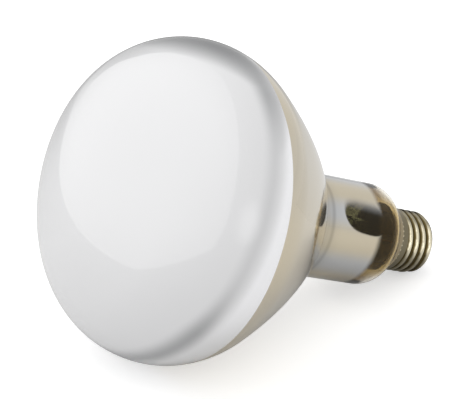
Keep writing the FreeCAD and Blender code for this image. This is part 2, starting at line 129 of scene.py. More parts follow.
# %% The places where the curves meet
LEAST_ANGLE = 0.01
MOST_ANGLE = 1.4
shoulder_ring = BULB_RADIUS - SHOULDER_RADIUS
WIDEST_STATION = DOME_RADIUS - math.sqrt((DOME_RADIUS - SHOULDER_RADIUS) ** 2 - shoulder_ring**2)
dome_angle = math.atan2(WIDEST_STATION - DOME_RADIUS, shoulder_ring)
handover_angle = solve(
    lambda a: math.tan(a) * (shoulder_ring + SHOULDER_RADIUS * math.cos(a)) - 2 * FOCAL_LENGTH,
    LEAST_ANGLE,
    MOST_ANGLE,
)
handover_radius = shoulder_ring + SHOULDER_RADIUS * math.cos(handover_angle)
handover_station = WIDEST_STATION + SHOULDER_RADIUS * math.sin(handover_angle)
vertex_station = handover_station + handover_radius**2 / (4 * FOCAL_LENGTH)
fillet_radius_start = solve(
    lambda r: r + NECK_FILLET * parabola_normal(r)[0] - NECK_RADIUS - NECK_FILLET,
    NECK_RADIUS / 2,
    handover_radius,
)
print("widest at", round(WIDEST_STATION / MM, 1), "mm from the crown")
print("focus at", round((vertex_station - FOCAL_LENGTH) / MM, 1), "mm from the crown")

# %% One face of the glass, from crown to collar
DOME_STEPS = 22
SHOULDER_STEPS = 26
PARABOLA_STEPS = 20
NECK_FILLET_STEPS = 5
NECK_END_STEPS = 8
COLLAR_FILLET_STEPS = 3


def glass_face(inset, detail):
    """The outer face at inset 0, the inner face at the wall, as points from crown to collar."""
    points = [(0.0, inset)]
    points += arc((0, DOME_RADIUS), DOME_RADIUS - inset, -math.pi / 2, dome_angle, DOME_STEPS * detail)
    ring = (shoulder_ring, WIDEST_STATION)
    shoulder_steps = SHOULDER_STEPS * detail
    points += arc(ring, SHOULDER_RADIUS - inset, dome_angle, handover_angle, shoulder_steps)
    spans = PARABOLA_STEPS * detail
    for i in range(1, spans + 1):
        radius = handover_radius + (fillet_radius_start - handover_radius) * i / spans
        across, along = parabola_normal(radius)
        station = vertex_station - radius**2 / (4 * FOCAL_LENGTH)
        points.append((radius - inset * across, station - inset * along))
    across, along = parabola_normal(fillet_radius_start)
    base = vertex_station - fillet_radius_start**2 / (4 * FOCAL_LENGTH)
    fillet_centre = (NECK_RADIUS + NECK_FILLET, base + NECK_FILLET * along)
    start = math.atan2(-along, -across)
    points += arc(fillet_centre, NECK_FILLET + inset, start, -math.pi, NECK_FILLET_STEPS * detail)
    end_centre_radius = NECK_RADIUS - NECK_END_RADIUS
    inward = COLLAR_RADIUS + COLLAR_FILLET - end_centre_radius
    apart = NECK_END_RADIUS + COLLAR_FILLET
    end_centre = (end_centre_radius, COLLAR_STATION - math.sqrt(apart**2 - inward**2))
    points.append((NECK_RADIUS - inset, end_centre[1]))
    turn = math.acos(inward / apart)
    points += arc(end_centre, NECK_END_RADIUS - inset, 0, turn, NECK_END_STEPS * detail)
    collar_centre = (COLLAR_RADIUS + COLLAR_FILLET, COLLAR_STATION)
    collar_steps = COLLAR_FILLET_STEPS * detail
    points += arc(collar_centre, COLLAR_FILLET + inset, turn + math.pi, math.pi, collar_steps)
    return points


# %% [markdown]
# ## Turning a piece as on a lathe
# By hand one would drop a single point, extrude it along the profile and spin the line round the
# axis. The same operators work here. Spinning leaves doubled points at the seam and at the poles,
# so they are merged, and the normals are turned outwards before the piece is laid down.

# %% The lathe
WHOLE_TURN = 2 * math.pi
LATHE_MERGE = 0.002 * MM


def lathe(name, profile, steps):
    """A closed turned piece from a profile of radius and station, upright round Z."""
    bpy.ops.object.select_all(action="DESELECT")
    bpy.ops.mesh.primitive_plane_add(size=MM, location=(0, 0, 0))
    piece = bpy.context.object
    piece.name = name
    bpy.ops.object.mode_set(mode="EDIT")
    bpy.ops.mesh.select_all(action="SELECT")
    bpy.ops.mesh.merge(type="CENTER")
    first = Vector((profile[0][0], 0, profile[0][1]))
    bpy.ops.transform.translate(value=first)
    for before, after in zip(profile, profile[1:]):
        step = (after[0] - before[0], 0, after[1] - before[1])
        bpy.ops.mesh.extrude_region_move(TRANSFORM_OT_translate={"value": step})
    bpy.ops.mesh.select_all(action="SELECT")
    bpy.ops.mesh.spin(steps=steps, angle=WHOLE_TURN, center=(0, 0, 0), axis=(0, 0, 1))
    bpy.ops.mesh.select_all(action="SELECT")
    bpy.ops.mesh.remove_doubles(threshold=LATHE_MERGE)
    bpy.ops.mesh.normals_make_consistent(inside=False)
    bpy.ops.object.mode_set(mode="OBJECT")
    return piece


def lay_down(piece):
    """Put an upright piece where the lamp lies, with its object left at the origin."""
    piece.data.transform(LAY_DOWN)
    piece.data.update()
    return piece


# %% The blown bulb
OUTER_DETAIL = 3
INNER_DETAIL = 1
EDGE_STEPS = 4
BULB_STEPS = 240
SHARP_ANGLE = math.radians(40)
outer = glass_face(0.0, OUTER_DETAIL)
inner = glass_face(GLASS_WALL, INNER_DETAIL)
bore = SEAT_RADIUS - GLASS_WALL
edge_centre = (COLLAR_RADIUS - COLLAR_EDGE, RIM_STATION - COLLAR_EDGE)
outer.append((COLLAR_RADIUS, RIM_STATION - COLLAR_EDGE))
outer += arc(edge_centre, COLLAR_EDGE, 0, math.pi / 2, EDGE_STEPS)
outer += [(SEAT_RADIUS, RIM_STATION), (SEAT_RADIUS, RIM_STATION + SEAT_LENGTH)]
outer += [(bore, RIM_STATION + SEAT_LENGTH), (bore, RIM_STATION - GLASS_WALL)]
outer.append((COLLAR_RADIUS - GLASS_WALL, RIM_STATION - GLASS_WALL))
bulb = lathe("blown_bulb", outer + inner[::-1], BULB_STEPS)
bpy.ops.object.shade_smooth_by_angle(angle=SHARP_ANGLE)
lay_down(bulb)
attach(bulb, "root")
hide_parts("glass_envelope")
print("bulb:", sum(len(face.vertices) - 2 for face in bulb.data.polygons), "triangles")

# %% [markdown]
# ## The crimped edge of the cap
# The shell is gripped to its cement by a row of small dents near its edge, which stand out as a
# ring of beads. By hand one bead is made and copied round the axis with the Spin tool.

# %% The beads
BEAD_RADIUS = 0.42 * MM
BEAD_COUNT = 42
BEAD_STATION = RIM_STATION + 1.0 * MM
BEAD_SEGMENTS = 12
BEAD_RINGS = 8
BEAD_MERGE = 0.005 * MM
SHELL_RADIUS = 13.2 * MM
BEAD_SINK = 0.15 * MM
bpy.ops.object.select_all(action="DESELECT")
bpy.ops.mesh.primitive_uv_sphere_add(
    segments=BEAD_SEGMENTS,
    ring_count=BEAD_RINGS,
    radius=BEAD_RADIUS,
    location=(SHELL_RADIUS - BEAD_SINK, 0, BEAD_STATION),
)
beads = bpy.context.object
beads.name = "crimp_beads"
bpy.ops.object.transform_apply(location=True, rotation=True, scale=True)
bpy.ops.object.mode_set(mode="EDIT")
bpy.ops.mesh.select_all(action="SELECT")
bpy.ops.mesh.spin(dupli=True, steps=BEAD_COUNT, angle=WHOLE_TURN, center=(0, 0, 0), axis=(0, 0, 1))
bpy.ops.mesh.select_all(action="SELECT")
bpy.ops.mesh.remove_doubles(threshold=BEAD_MERGE)
bpy.ops.mesh.normals_make_consistent(inside=False)
bpy.ops.object.mode_set(mode="OBJECT")
bpy.ops.object.shade_smooth()
lay_down(beads)
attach(beads, "root")
print("beads:", len(beads.data.polygons), "faces,", BEAD_COUNT, "beads")

# %% [markdown]
# ## A helper for materials
# Colours are written as hex values, the way a colour picker shows them, and one function turns them
# into the linear values that the shaders expect. A second small function adds a node with its
# settings and links, so each material below reads as a list of what it is made of. A node that is
# handed to a socket is linked by its first output in use, as when one wires it by hand. The kinds
# and settings that come back often get short names.


# %% Colours
def linear(hex_colour):
    """The linear colour of an sRGB hex value."""
    values = [int(hex_colour[i : i + 2], 16) / 255 for i in (1, 3, 5)]
    return [v / 12.92 if v <= 0.04045 else ((v + 0.055) / 1.055) ** 2.4 for v in values] + [1.0]


print("a middle grey as the shaders get it:", [round(value, 3) for value in linear("#808080")])

# %% Kinds of node and their settings
MATH = "ShaderNodeMath"
VECTOR_MATH = "ShaderNodeVectorMath"
RANGE = "ShaderNodeMapRange"
MIX = "ShaderNodeMix"
MIX_SHADERS = "ShaderNodeMixShader"
NOISE = "ShaderNodeTexNoise"
PRINCIPLED = "ShaderNodeBsdfPrincipled"
ADD = {"operation": "ADD"}
SUBTRACT = {"operation": "SUBTRACT"}
MULTIPLY = {"operation": "MULTIPLY"}
TIMES_PLUS = {"operation": "MULTIPLY_ADD"}
DIVIDE = {"operation": "DIVIDE"}
POWER = {"operation": "POWER"}
ABSOLUTE = {"operation": "ABSOLUTE"}
MAXIMUM = {"operation": "MAXIMUM"}
ABOVE = {"operation": "GREATER_THAN"}
COSINE = {"operation": "COSINE"}
ANGLE_OF = {"operation": "ARCTAN2"}
LENGTH = {"operation": "LENGTH"}
DISTANCE = {"operation": "DISTANCE"}
DOT = {"operation": "DOT_PRODUCT"}
SMOOTH = {"interpolation_type": "SMOOTHSTEP"}
COLOURS = {"data_type": "RGBA"}


# %% Adding materials and nodes
def new_material(name):
    """An empty material with nodes."""
    material = bpy.data.materials.new(name)
    material.use_nodes = True
    material.node_tree.nodes.clear()
    return material


def add(material, kind, settings=(), **sockets):
    """Add a node; a socket gets a value, an output, or the first output in use of another node."""
    tree = material.node_tree
    node = tree.nodes.new(kind)
    for key, value in dict(settings).items():
        setattr(node, key, value)
    for key, value in sockets.items():
        socket = node.inputs[int(key[1:])] if key[1:].isdigit() else node.inputs[key.replace("_", " ")]
        if isinstance(value, bpy.types.Node):
            value = next(output for output in value.outputs if output.enabled)
        if isinstance(value, bpy.types.NodeSocket):
            tree.links.new(value, socket)
        else:
            socket.default_value = value
    return node


def give(piece, material):
    """Make a material the only one of a piece."""
    piece.data.materials.clear()
    piece.data.materials.append(material)


# %% [markdown]
# ## Reading the lamp's own axis in a material
# Three finishes follow each other along the bulb, so the material has to know how far a point is
# from the crown. Object coordinates are in the frame, and a Mapping node of type Texture undoes the
# placement of the lamp: its Z output is the station. Directions round the lamp are angles: 345
# degrees is the side nearest the camera, and 255 degrees is the upper side.

# %% The lamp's coordinates
NEAR_SIDE = math.radians(345.0)
UPPER_SIDE = math.radians(255.0)


def lamp_coordinates(material):
    """Coordinates in metres, with the station along Z and the crown at zero."""
    place = LAY_DOWN.to_euler()
    coords = add(material, "ShaderNodeTexCoord")
    return add(
        material,
        "ShaderNodeMapping",
        {"vector_type": "TEXTURE"},
        Vector=coords.outputs["Object"],
        Location=LAY_DOWN.translation,
        Rotation=(place.x, place.y, place.z),
    )


def along_direction(material, parts, angle):
    """How far a point lies from the lamp's axis towards an angle round it."""
    across = add(material, MATH, MULTIPLY, _0=parts["X"], _1=math.cos(angle))
    return add(material, MATH, TIMES_PLUS, _0=parts["Y"], _1=math.sin(angle), _2=across)


# %% [markdown]
# ## Hard glass with three finishes
# The bulb is borosilicate glass. Its front is frosted white inside, so the eye sees a soft white
# body under a clear, sharp outer skin. Behind the shoulder a film of aluminium is evaporated on the
# inside, seen through the glass as a warm mirror. The film stops short of the cap, and the dark
# inside shows through the clear glass there. One could split the surface into three materials, but
# their edges would be as jagged as the faces. Masks in one material keep every edge smooth, so each
# of the next cells works out one mask or tint from the place on the lamp.

# %% The front edge of the mirror film
FILM_START = 51.6 * MM
FRONT_EDGE_WANDER = 2.6 * MM
FRONT_EDGE_SOFTNESS = 0.5 * MM


def film_behind_front(glass, station, waver):
    """1 where the film is; its edge wanders a little, as an evaporated film does at its mask."""
    edge = add(glass, MATH, TIMES_PLUS, _0=waver, _1=FRONT_EDGE_WANDER, _2=station)
    edge_start = FILM_START + (FRONT_EDGE_WANDER - FRONT_EDGE_SOFTNESS) / 2
    edge_end = edge_start + FRONT_EDGE_SOFTNESS
    return add(glass, RANGE, SMOOTH, Value=edge, From_Min=edge_start, From_Max=edge_end)


print("the film starts", round(FILM_START / MM, 1), "mm from the crown")

# %% [markdown]
# ### The bay in the film
# On one side of the neck the mount stood in the way of the aluminium and left an oval bay. Its upper
# edge is blurred and its lower edge is crisp, like a shadow. It could be painted by hand as a mask,
# but a formula on the lamp's own coordinates stays sharp at any size: the sum of two powers makes a
# rounded box, and the width of the step at its edge depends on which side the point lies.

# %% The bay
BAY_STATION = 125.0 * MM
BAY_HALF_LENGTH = 12.5 * MM
BAY_HALF_WIDTH = 8.2 * MM
BAY_SLANT = 0.12
BAY_ANGLE = math.radians(320.8)
BAY_ENDS_POWER = 3.0
BAY_SIDES_POWER = 2.0
BAY_OUTLINE = 1.05
BLUR_TURNS_CRISP = 0.4
BLURRED_EDGE = -0.3
CRISP_EDGE = 0.86


def bay_in_film(glass, parts):
    """1 in the bay, with lengths counted in halves of it from its middle."""
    ahead = add(glass, MATH, SUBTRACT, _0=parts["Z"], _1=BAY_STATION)
    ahead = add(glass, MATH, DIVIDE, _0=ahead, _1=BAY_HALF_LENGTH)
    beside = along_direction(glass, parts, BAY_ANGLE + math.pi / 2)
    beside = add(glass, MATH, DIVIDE, _0=beside, _1=BAY_HALF_WIDTH)
    beside = add(glass, MATH, TIMES_PLUS, _0=ahead, _1=-BAY_SLANT, _2=beside)
    dimmed_above = add(glass, RANGE, SMOOTH, Value=beside, From_Min=-1.0, From_Max=0.0)
    ahead_size = add(glass, MATH, ABSOLUTE, _0=ahead)
    ahead_part = add(glass, MATH, POWER, _0=ahead_size, _1=BAY_ENDS_POWER)
    beside_size = add(glass, MATH, ABSOLUTE, _0=beside)
    beside_part = add(glass, MATH, POWER, _0=beside_size, _1=BAY_SIDES_POWER)
    edge = add(
        glass, RANGE, SMOOTH, Value=beside, From_Min=-1.0, From_Max=BLUR_TURNS_CRISP,
        To_Min=BLURRED_EDGE, To_Max=CRISP_EDGE,
    )
    together = add(glass, MATH, ADD, _0=ahead_part, _1=beside_part)
    oval = add(glass, RANGE, SMOOTH, Value=together, From_Min=BAY_OUTLINE, From_Max=edge)
    facing = add(glass, MATH, ABOVE, _0=along_direction(glass, parts, BAY_ANGLE), _1=0.0)
    on_this_side = add(glass, MATH, MULTIPLY, _0=oval, _1=facing)
    return add(glass, MATH, MULTIPLY, _0=on_this_side, _1=dimmed_above)


print("bay:", round(2 * BAY_HALF_LENGTH / MM, 1), "by", round(2 * BAY_HALF_WIDTH / MM, 1), "mm")

# %% [markdown]
# ### The tint of the film, with painted reflections and painted shade
# Down the neck the film's tint turns from sand to pale blue and back in streaks, which are painted
# reflections, and dark rings where the neck begins are painted shade. They could be painted as an
# image, but would then need the bulb unwrapped. Here the streaks are a cosine of the angle round the
# lamp, stirred by the same noise that moves the edge, and each ring fades with the distance from its
# station.

# %% Streaks and rings
# Painted reflection: streaks of sand and pale blue in the film
STREAK_COUNT = 6
STREAK_ANGLE = math.radians(294.0)
STREAK_DEPTH = 0.5
NECK_STREAKS_START = 96 * MM
NECK_STREAKS_END = 108 * MM
STREAKS_AHEAD_OF_NECK = 0.22
STREAK_STIR = 0.6
COOLEST_STREAK = 0.2
WARMEST_STREAK = 1.3
# Painted shade: dark rings where the reflector meets the neck, given as station, width and darkness
RING_SHADE_COLOUR = "#4A463C"
PAINTED_SHADE_RINGS = [
    (100.0 * MM, 13.0 * MM, 0.3),
    (101.6 * MM, 1.4 * MM, 0.7),
    (107.2 * MM, 1.6 * MM, 0.25),
]


def film_tint_and_painted_light(glass, parts, waver, film_colour, reflected_cool_colour):
    """The colour of the film, with streaks of painted reflection and rings of painted shade given by
    station, width and darkness.
    """
    angle = add(glass, MATH, ANGLE_OF, _0=parts["Y"], _1=parts["X"])
    turned = add(glass, MATH, TIMES_PLUS, _0=angle, _1=STREAK_COUNT, _2=-STREAK_ANGLE * STREAK_COUNT)
    wave = add(glass, MATH, COSINE, _0=turned)
    streak = add(glass, MATH, TIMES_PLUS, _0=wave, _1=STREAK_DEPTH, _2=-STREAK_DEPTH)
    on_neck = add(
        glass, RANGE, SMOOTH, Value=parts["Z"], From_Min=NECK_STREAKS_START, From_Max=NECK_STREAKS_END,
        To_Min=STREAKS_AHEAD_OF_NECK, To_Max=1.0,
    )
    streak = add(glass, MATH, TIMES_PLUS, _0=streak, _1=on_neck, _2=1.0)
    streak = add(glass, MATH, TIMES_PLUS, _0=waver, _1=STREAK_STIR, _2=streak)
    warm = add(glass, RANGE, SMOOTH, Value=streak, From_Min=COOLEST_STREAK, From_Max=WARMEST_STREAK)
    tint = add(glass, MIX, COLOURS, _0=warm, _6=linear(reflected_cool_colour), _7=linear(film_colour))
    # Each ring is painted shade
    for ring_station, width, darkness in PAINTED_SHADE_RINGS:
        offset = add(glass, MATH, SUBTRACT, _0=parts["Z"], _1=ring_station)
        away = add(glass, MATH, ABSOLUTE, _0=offset)
        shade = add(
            glass, RANGE, SMOOTH, Value=away, From_Min=width, From_Max=0.0, To_Max=darkness
        )
        tint = add(glass, MIX, COLOURS, _0=shade, _6=tint, _7=linear(RING_SHADE_COLOUR))
    return tint


# %% [markdown]
# ### The frosted front
# Round the shoulder, where the glass curves away most, a soft grey band of painted shade slants a
# little. On top it reaches far over the dome as a painted dark reflection, and on the near side it is
# narrow. A ramp of colours would be the same all round, so the band is a rise and a fall along the
# axis instead, and the side of the lamp sets how far both reach. Behind the band, on the near side,
# a painted lighter strip makes the front whiter.

# %% Sizes of the painted shade band
# Painted shade: a grey band round the shoulder, widened on top as a painted dark reflection
BAND_STATION = 38.6 * MM
BAND_SLANT = 0.12
BAND_BEHIND = 7.0 * MM
BAND_BEHIND_NEAR = 4.5 * MM
BAND_BEHIND_ABOVE = 7.0 * MM
BAND_AHEAD = 8.0 * MM
BAND_AHEAD_NEAR = 5.5 * MM
BAND_AHEAD_ON_TOP = 40.0 * MM
BAND_STRENGTH = 0.55
BAND_STRENGTH_NEAR = 0.17
BAND_STRENGTH_ON_TOP = 0.28
UPPER_START = 46 * MM
UPPER_END = 60 * MM
UPPER_NEAR_SIDE = math.radians(300.0)
UPPER_NEAR_START = 57 * MM
UPPER_NEAR_END = 61.5 * MM
NEAR_START = 38 * MM
NEAR_END = 58 * MM
WEAKER_START = 42 * MM
WEAKER_END = 60 * MM
# Painted light: a whiter strip behind the band, on the near side
LIT_STRIP_START = 3 * MM
LIT_STRIP_END = 8 * MM
LIT_STRIP_COLOUR = "#F2F2F4"
print("band:", round((BAND_AHEAD + BAND_BEHIND) / MM, 1), "mm wide at", round(BAND_STATION / MM, 1), "mm")


# %% The tone of the front
def painted_shade_band(glass, parts, away, near):
    """How much the painted shade band covers, from the distance behind its middle and the near side."""
    # On top the band is widened and deepened as a painted dark reflection
    upper = add(
        glass, RANGE, SMOOTH, Value=along_direction(glass, parts, UPPER_SIDE),
        From_Min=UPPER_START, From_Max=UPPER_END,
    )
    ahead = add(
        glass, RANGE, SMOOTH, Value=near, From_Min=NEAR_START, From_Max=NEAR_END,
        To_Min=-BAND_AHEAD, To_Max=-BAND_AHEAD_NEAR,
    )
    ahead = add(glass, MATH, TIMES_PLUS, _0=upper, _1=BAND_AHEAD - BAND_AHEAD_ON_TOP, _2=ahead)
    behind = add(
        glass, RANGE, SMOOTH, Value=near, From_Min=NEAR_START, From_Max=NEAR_END,
        To_Min=BAND_BEHIND, To_Max=BAND_BEHIND_NEAR,
    )
    upper_near = add(
        glass, RANGE, SMOOTH, Value=along_direction(glass, parts, UPPER_NEAR_SIDE),
        From_Min=UPPER_NEAR_START, From_Max=UPPER_NEAR_END,
    )
    behind = add(glass, MATH, TIMES_PLUS, _0=upper_near, _1=BAND_BEHIND_ABOVE, _2=behind)
    rise = add(glass, RANGE, SMOOTH, Value=away, From_Min=ahead, From_Max=0.0)
    fall = add(
        glass, RANGE, SMOOTH, Value=away, From_Min=0.0, From_Max=behind, To_Min=1.0, To_Max=0.0
    )
    depth = add(glass, MATH, MULTIPLY, _0=rise, _1=fall)
    strength = add(
        glass, RANGE, SMOOTH, Value=near, From_Min=WEAKER_END, From_Max=WEAKER_START,
        To_Min=BAND_STRENGTH_NEAR, To_Max=BAND_STRENGTH,
    )
    strength = add(glass, MATH, TIMES_PLUS, _0=upper, _1=BAND_STRENGTH_ON_TOP, _2=strength)
    return add(glass, MATH, MULTIPLY, _0=depth, _1=strength)


def front_tone(glass, parts, near, front_colour, shade_band_colour):
    """The colour of the frosted front with its painted shade band and the painted lighter strip behind
    it.
    """
    slanted = add(glass, MATH, TIMES_PLUS, _0=parts["Y"], _1=BAND_SLANT, _2=parts["Z"])
    away = add(glass, MATH, SUBTRACT, _0=slanted, _1=BAND_STATION)
    band = painted_shade_band(glass, parts, away, near)
    # Painted light: the strip behind the band is whiter on the near side
    lit_strip = add(glass, RANGE, SMOOTH, Value=away, From_Min=LIT_STRIP_START, From_Max=LIT_STRIP_END)
    nearness = add(glass, RANGE, SMOOTH, Value=near, From_Min=NEAR_START, From_Max=NEAR_END)
    lit_strip = add(glass, MATH, MULTIPLY, _0=lit_strip, _1=nearness)
    body = add(glass, MIX, COLOURS, _0=lit_strip, _6=linear(front_colour), _7=linear(LIT_STRIP_COLOUR))
    return add(glass, MIX, COLOURS, _0=band, _6=body, _7=linear(shade_band_colour))


# %% [markdown]
# ### The clear end and the cement
# Between the film and the cap the glass is clear, and the eye sees through it into a brown dusk.
# Next to the film the glass has a brown fringe. On the near side a deeper brown tint is painted shade
# of the closed inside, and so is the dark olive tint of the bay. The short collar is full of cement,
# which shows brown through the glass. The tints are the colour of the transmission, so the pieces
# behind still show.

# %% The clear end
FILM_END = 130.2 * MM
FILM_FADE = 3.6 * MM
FRINGE_LENGTH = 7.0 * MM
FRINGE_COLOUR = "#7D6A4E"
CLEAR_COLOUR = "#E4DFD4"
# Painted shade: the dark inside seen through the bay
BAY_SHADE_COLOUR = "#4B4A34"
# Painted shade: the dark inside, as a brown tint on the near side
SHADE_INSIDE_START = 11 * MM
SHADE_INSIDE_END = 17 * MM
SHADE_INSIDE_COLOUR = "#AC9664"
print("clear glass from", round(FILM_END / MM, 1), "to", round(COLLAR_STATION / MM, 1), "mm")


def clear_tint(glass, station, near, bay, past):
    """The colour that the bare glass gives to what is behind it, with painted shade on the near side and
    in the bay.
    """
    fringe_start = FILM_END + FILM_FADE
    fringe_end = fringe_start + FRINGE_LENGTH
    fringe = add(glass, RANGE, SMOOTH, Value=station, From_Min=fringe_start, From_Max=fringe_end)
    tint = add(glass, MIX, COLOURS, _0=fringe, _6=linear(FRINGE_COLOUR), _7=linear(CLEAR_COLOUR))
    tint = add(glass, MIX, COLOURS, _0=bay, _6=tint, _7=linear(BAY_SHADE_COLOUR))
    # Painted shade of the dark inside, on the near side
    shade_inside = add(glass, RANGE, SMOOTH, Value=near, From_Min=SHADE_INSIDE_START, From_Max=SHADE_INSIDE_END)
    shade_inside = add(glass, MATH, MULTIPLY, _0=shade_inside, _1=past)
    return add(glass, MIX, COLOURS, _0=shade_inside, _6=tint, _7=linear(SHADE_INSIDE_COLOUR))


# %% [markdown]
# ### The glass as a whole
# The frosted front is a diffuse base with a coat, because its skin outside is fire-polished and
# clear. The film is a metal under a thinner coat, and the bare glass transmits. Borosilicate glass
# has an IOR of 1.47. The inner faces get a second material from the same function, duller and much
# darker: the shade of the closed inside is painted into its colours.

# %% How the glass and what lies behind it shine
BOROSILICATE_IOR = 1.47
COAT_IOR = 1.5
POLISHED = 0.02
FROST_ROUGHNESS = 0.5
FILM_COAT = 0.6
FILM_COAT_ROUGHNESS = 0.01
GLINT_COLOUR = "#CDB68C"
CEMENT_SEEN_DARK = "#80704F"
CEMENT_SEEN_PALE = "#A3926C"
CEMENT_ROUGHNESS = 0.7
CEMENT_FADE = 1 * MM
CEMENT_COVER = 0.85
WAVER_SIZE = 45 * MM
print("hard glass has an IOR of", BOROSILICATE_IOR)


# %% All the finishes in one material
def bulb_glass(name, front_colour, shade_band_colour, film_colour, reflected_cool_colour, film_roughness):
    """The glass with its finishes, for one of its two faces."""
    glass = new_material(name)
    place = lamp_coordinates(glass)
    parts = add(glass, "ShaderNodeSeparateXYZ", Vector=place).outputs
    station = parts["Z"]
    near = along_direction(glass, parts, NEAR_SIDE)
    waver = add(glass, NOISE, Vector=place, Scale=1 / WAVER_SIZE, Detail=1.0)
    film = film_behind_front(glass, station, waver)
    bay = bay_in_film(glass, parts)
    past = add(glass, RANGE, SMOOTH, Value=station, From_Min=FILM_END, From_Max=FILM_END + FILM_FADE)
    clear = add(glass, MATH, MAXIMUM, _0=bay, _1=past)
    front = add(
        glass,
        PRINCIPLED,
        Base_Color=front_tone(glass, parts, near, front_colour, shade_band_colour),
        Roughness=FROST_ROUGHNESS,
        IOR=BOROSILICATE_IOR,
        Coat_Weight=1.0,
        Coat_Roughness=POLISHED,
        Coat_IOR=COAT_IOR,
    )
    mirror = add(
        glass,
        PRINCIPLED,
        Base_Color=film_tint_and_painted_light(glass, parts, waver, film_colour, reflected_cool_colour),
        Metallic=1.0,
        Roughness=film_roughness,
        Coat_Weight=FILM_COAT,
        Coat_Roughness=FILM_COAT_ROUGHNESS,
    )
    bare = add(
        glass,
        PRINCIPLED,
        Base_Color=clear_tint(glass, station, near, bay, past),
        Roughness=0.0,
        IOR=BOROSILICATE_IOR,
        Specular_Tint=linear(GLINT_COLOUR),
        Transmission_Weight=1.0,
    )
    cement_tone = add(
        glass, MIX, COLOURS, _0=waver, _6=linear(CEMENT_SEEN_DARK), _7=linear(CEMENT_SEEN_PALE)
    )
    filled = add(
        glass,
        PRINCIPLED,
        Base_Color=cement_tone,
        Roughness=CEMENT_ROUGHNESS,
        IOR=BOROSILICATE_IOR,
        Coat_Weight=1.0,
        Coat_Roughness=POLISHED,
        Coat_IOR=COAT_IOR,
    )
    in_collar = add(
        glass, RANGE, SMOOTH, Value=station, From_Min=COLLAR_STATION - CEMENT_FADE,
        From_Max=COLLAR_STATION, To_Max=CEMENT_COVER,
    )
    coated = add(glass, MIX_SHADERS, _0=film, _1=front, _2=mirror)
    empty = add(glass, MIX_SHADERS, _0=clear, _1=coated, _2=bare)
    whole = add(glass, MIX_SHADERS, _0=in_collar, _1=empty, _2=filled)
    add(glass, "ShaderNodeOutputMaterial", _0=whole)
    return glass


# %% Outside and inside of the bulb
SPOT_IN_DOME = 60 * MM
glass_outside = bulb_glass(
    "borosilicate_frosted_and_aluminised",
    front_colour="#DADADB",
    # The band colour is painted shade
    shade_band_colour="#3E4144",
    film_colour="#D2C7AF",
    # The cool colour is a painted reflection
    reflected_cool_colour="#C8CACC",
    film_roughness=0.1,
)
# Painted shade: a darker copy of the glass for its inner faces
shaded_glass_inside = bulb_glass(
    "aluminium_film_from_inside_painted_shade",
    front_colour="#8A8782",
    shade_band_colour="#55534F",
    film_colour="#22211C",
    reflected_cool_colour="#1D1F1B",
    film_roughness=0.5,
)
give(bulb, glass_outside)
bulb.data.materials.append(shaded_glass_inside)
to_upright = LAY_DOWN.inverted()
turn_only = to_upright.to_3x3()
# In front a face points out where it points away from a spot in the dome, and behind from the axis
inner_faces = 0
for face in bulb.data.polygons:
    spot = to_upright @ face.center
    outwards = Vector((spot.x, spot.y, min(spot.z - SPOT_IN_DOME, 0.0)))
    if (turn_only @ face.normal).dot(outwards) < 0:
        face.material_index = 1
        inner_faces += 1
print("faces on the inside of the glass:", inner_faces, "of", len(bulb.data.polygons))

# %% [markdown]
# ## Metals, mica and plain glass
# The inner pieces are seen only through the clear end, but each still gets the finish of the real
# one. Drawn wire and pressed sheet have a slightly uneven polish, which the eye reads as a soft
# mottle, so the roughness of the metal follows a noise. Drawn tube shows faint streaks along its
# length, and mica, cement and black glass show two tones of one colour. An image could give all
# this, but a noise in millimetres fits every piece and needs no unwrapping. The real grain is finer
# than a pixel, so each one is drawn as coarse as it needs to show.

# %% Metals
METAL_UNEVENNESS = 0.1
METAL_DETAIL = 4.0


def metal(name, colour, roughness, grain_mm, unevenness=METAL_UNEVENNESS):
    """A metal with a mottled polish; the grain is the size of its spots."""
    material = new_material(name)
    coords = lamp_coordinates(material)
    noise = add(material, NOISE, Vector=coords, Scale=1 / (grain_mm * MM), Detail=METAL_DETAIL)
    dullest = roughness + unevenness
    polish = add(material, RANGE, Value=noise, To_Min=roughness - unevenness, To_Max=dullest)
    shader = add(material, PRINCIPLED, Base_Color=linear(colour), Metallic=1.0, Roughness=polish)
    add(material, "ShaderNodeOutputMaterial", _0=shader)
    return material


# %% Drawn glass tube
STREAK_STRETCH = 0.05
TUBE_STREAK = 1.5 * MM
TUBE_IOR = 1.5
FAINT_STREAK = 0.4
FULL_STREAK = 0.7


def clear_glass(name, colour, streak_colour):
    """Clear glass with faint streaks along the lamp's axis."""
    material = new_material(name)
    place = lamp_coordinates(material)
    drawn = add(material, "ShaderNodeMapping", Vector=place, Scale=(1.0, 1.0, STREAK_STRETCH))
    noise = add(material, NOISE, Vector=drawn, Scale=1 / TUBE_STREAK)
    streaks = add(material, RANGE, SMOOTH, Value=noise, From_Min=FAINT_STREAK, From_Max=FULL_STREAK)
    tone = add(material, MIX, COLOURS, _0=streaks, _6=linear(colour), _7=linear(streak_colour))
    shader = add(
        material, PRINCIPLED, Base_Color=tone, Roughness=0.0, IOR=TUBE_IOR, Transmission_Weight=1.0
    )
    add(material, "ShaderNodeOutputMaterial", _0=shader)
    return material


# %% Mica, cement and black glass
MINERAL_DETAIL = 6.0
DARK_SPOTS = 0.3
PALE_SPOTS = 0.7
MINERAL_COAT_ROUGHNESS = 0.05


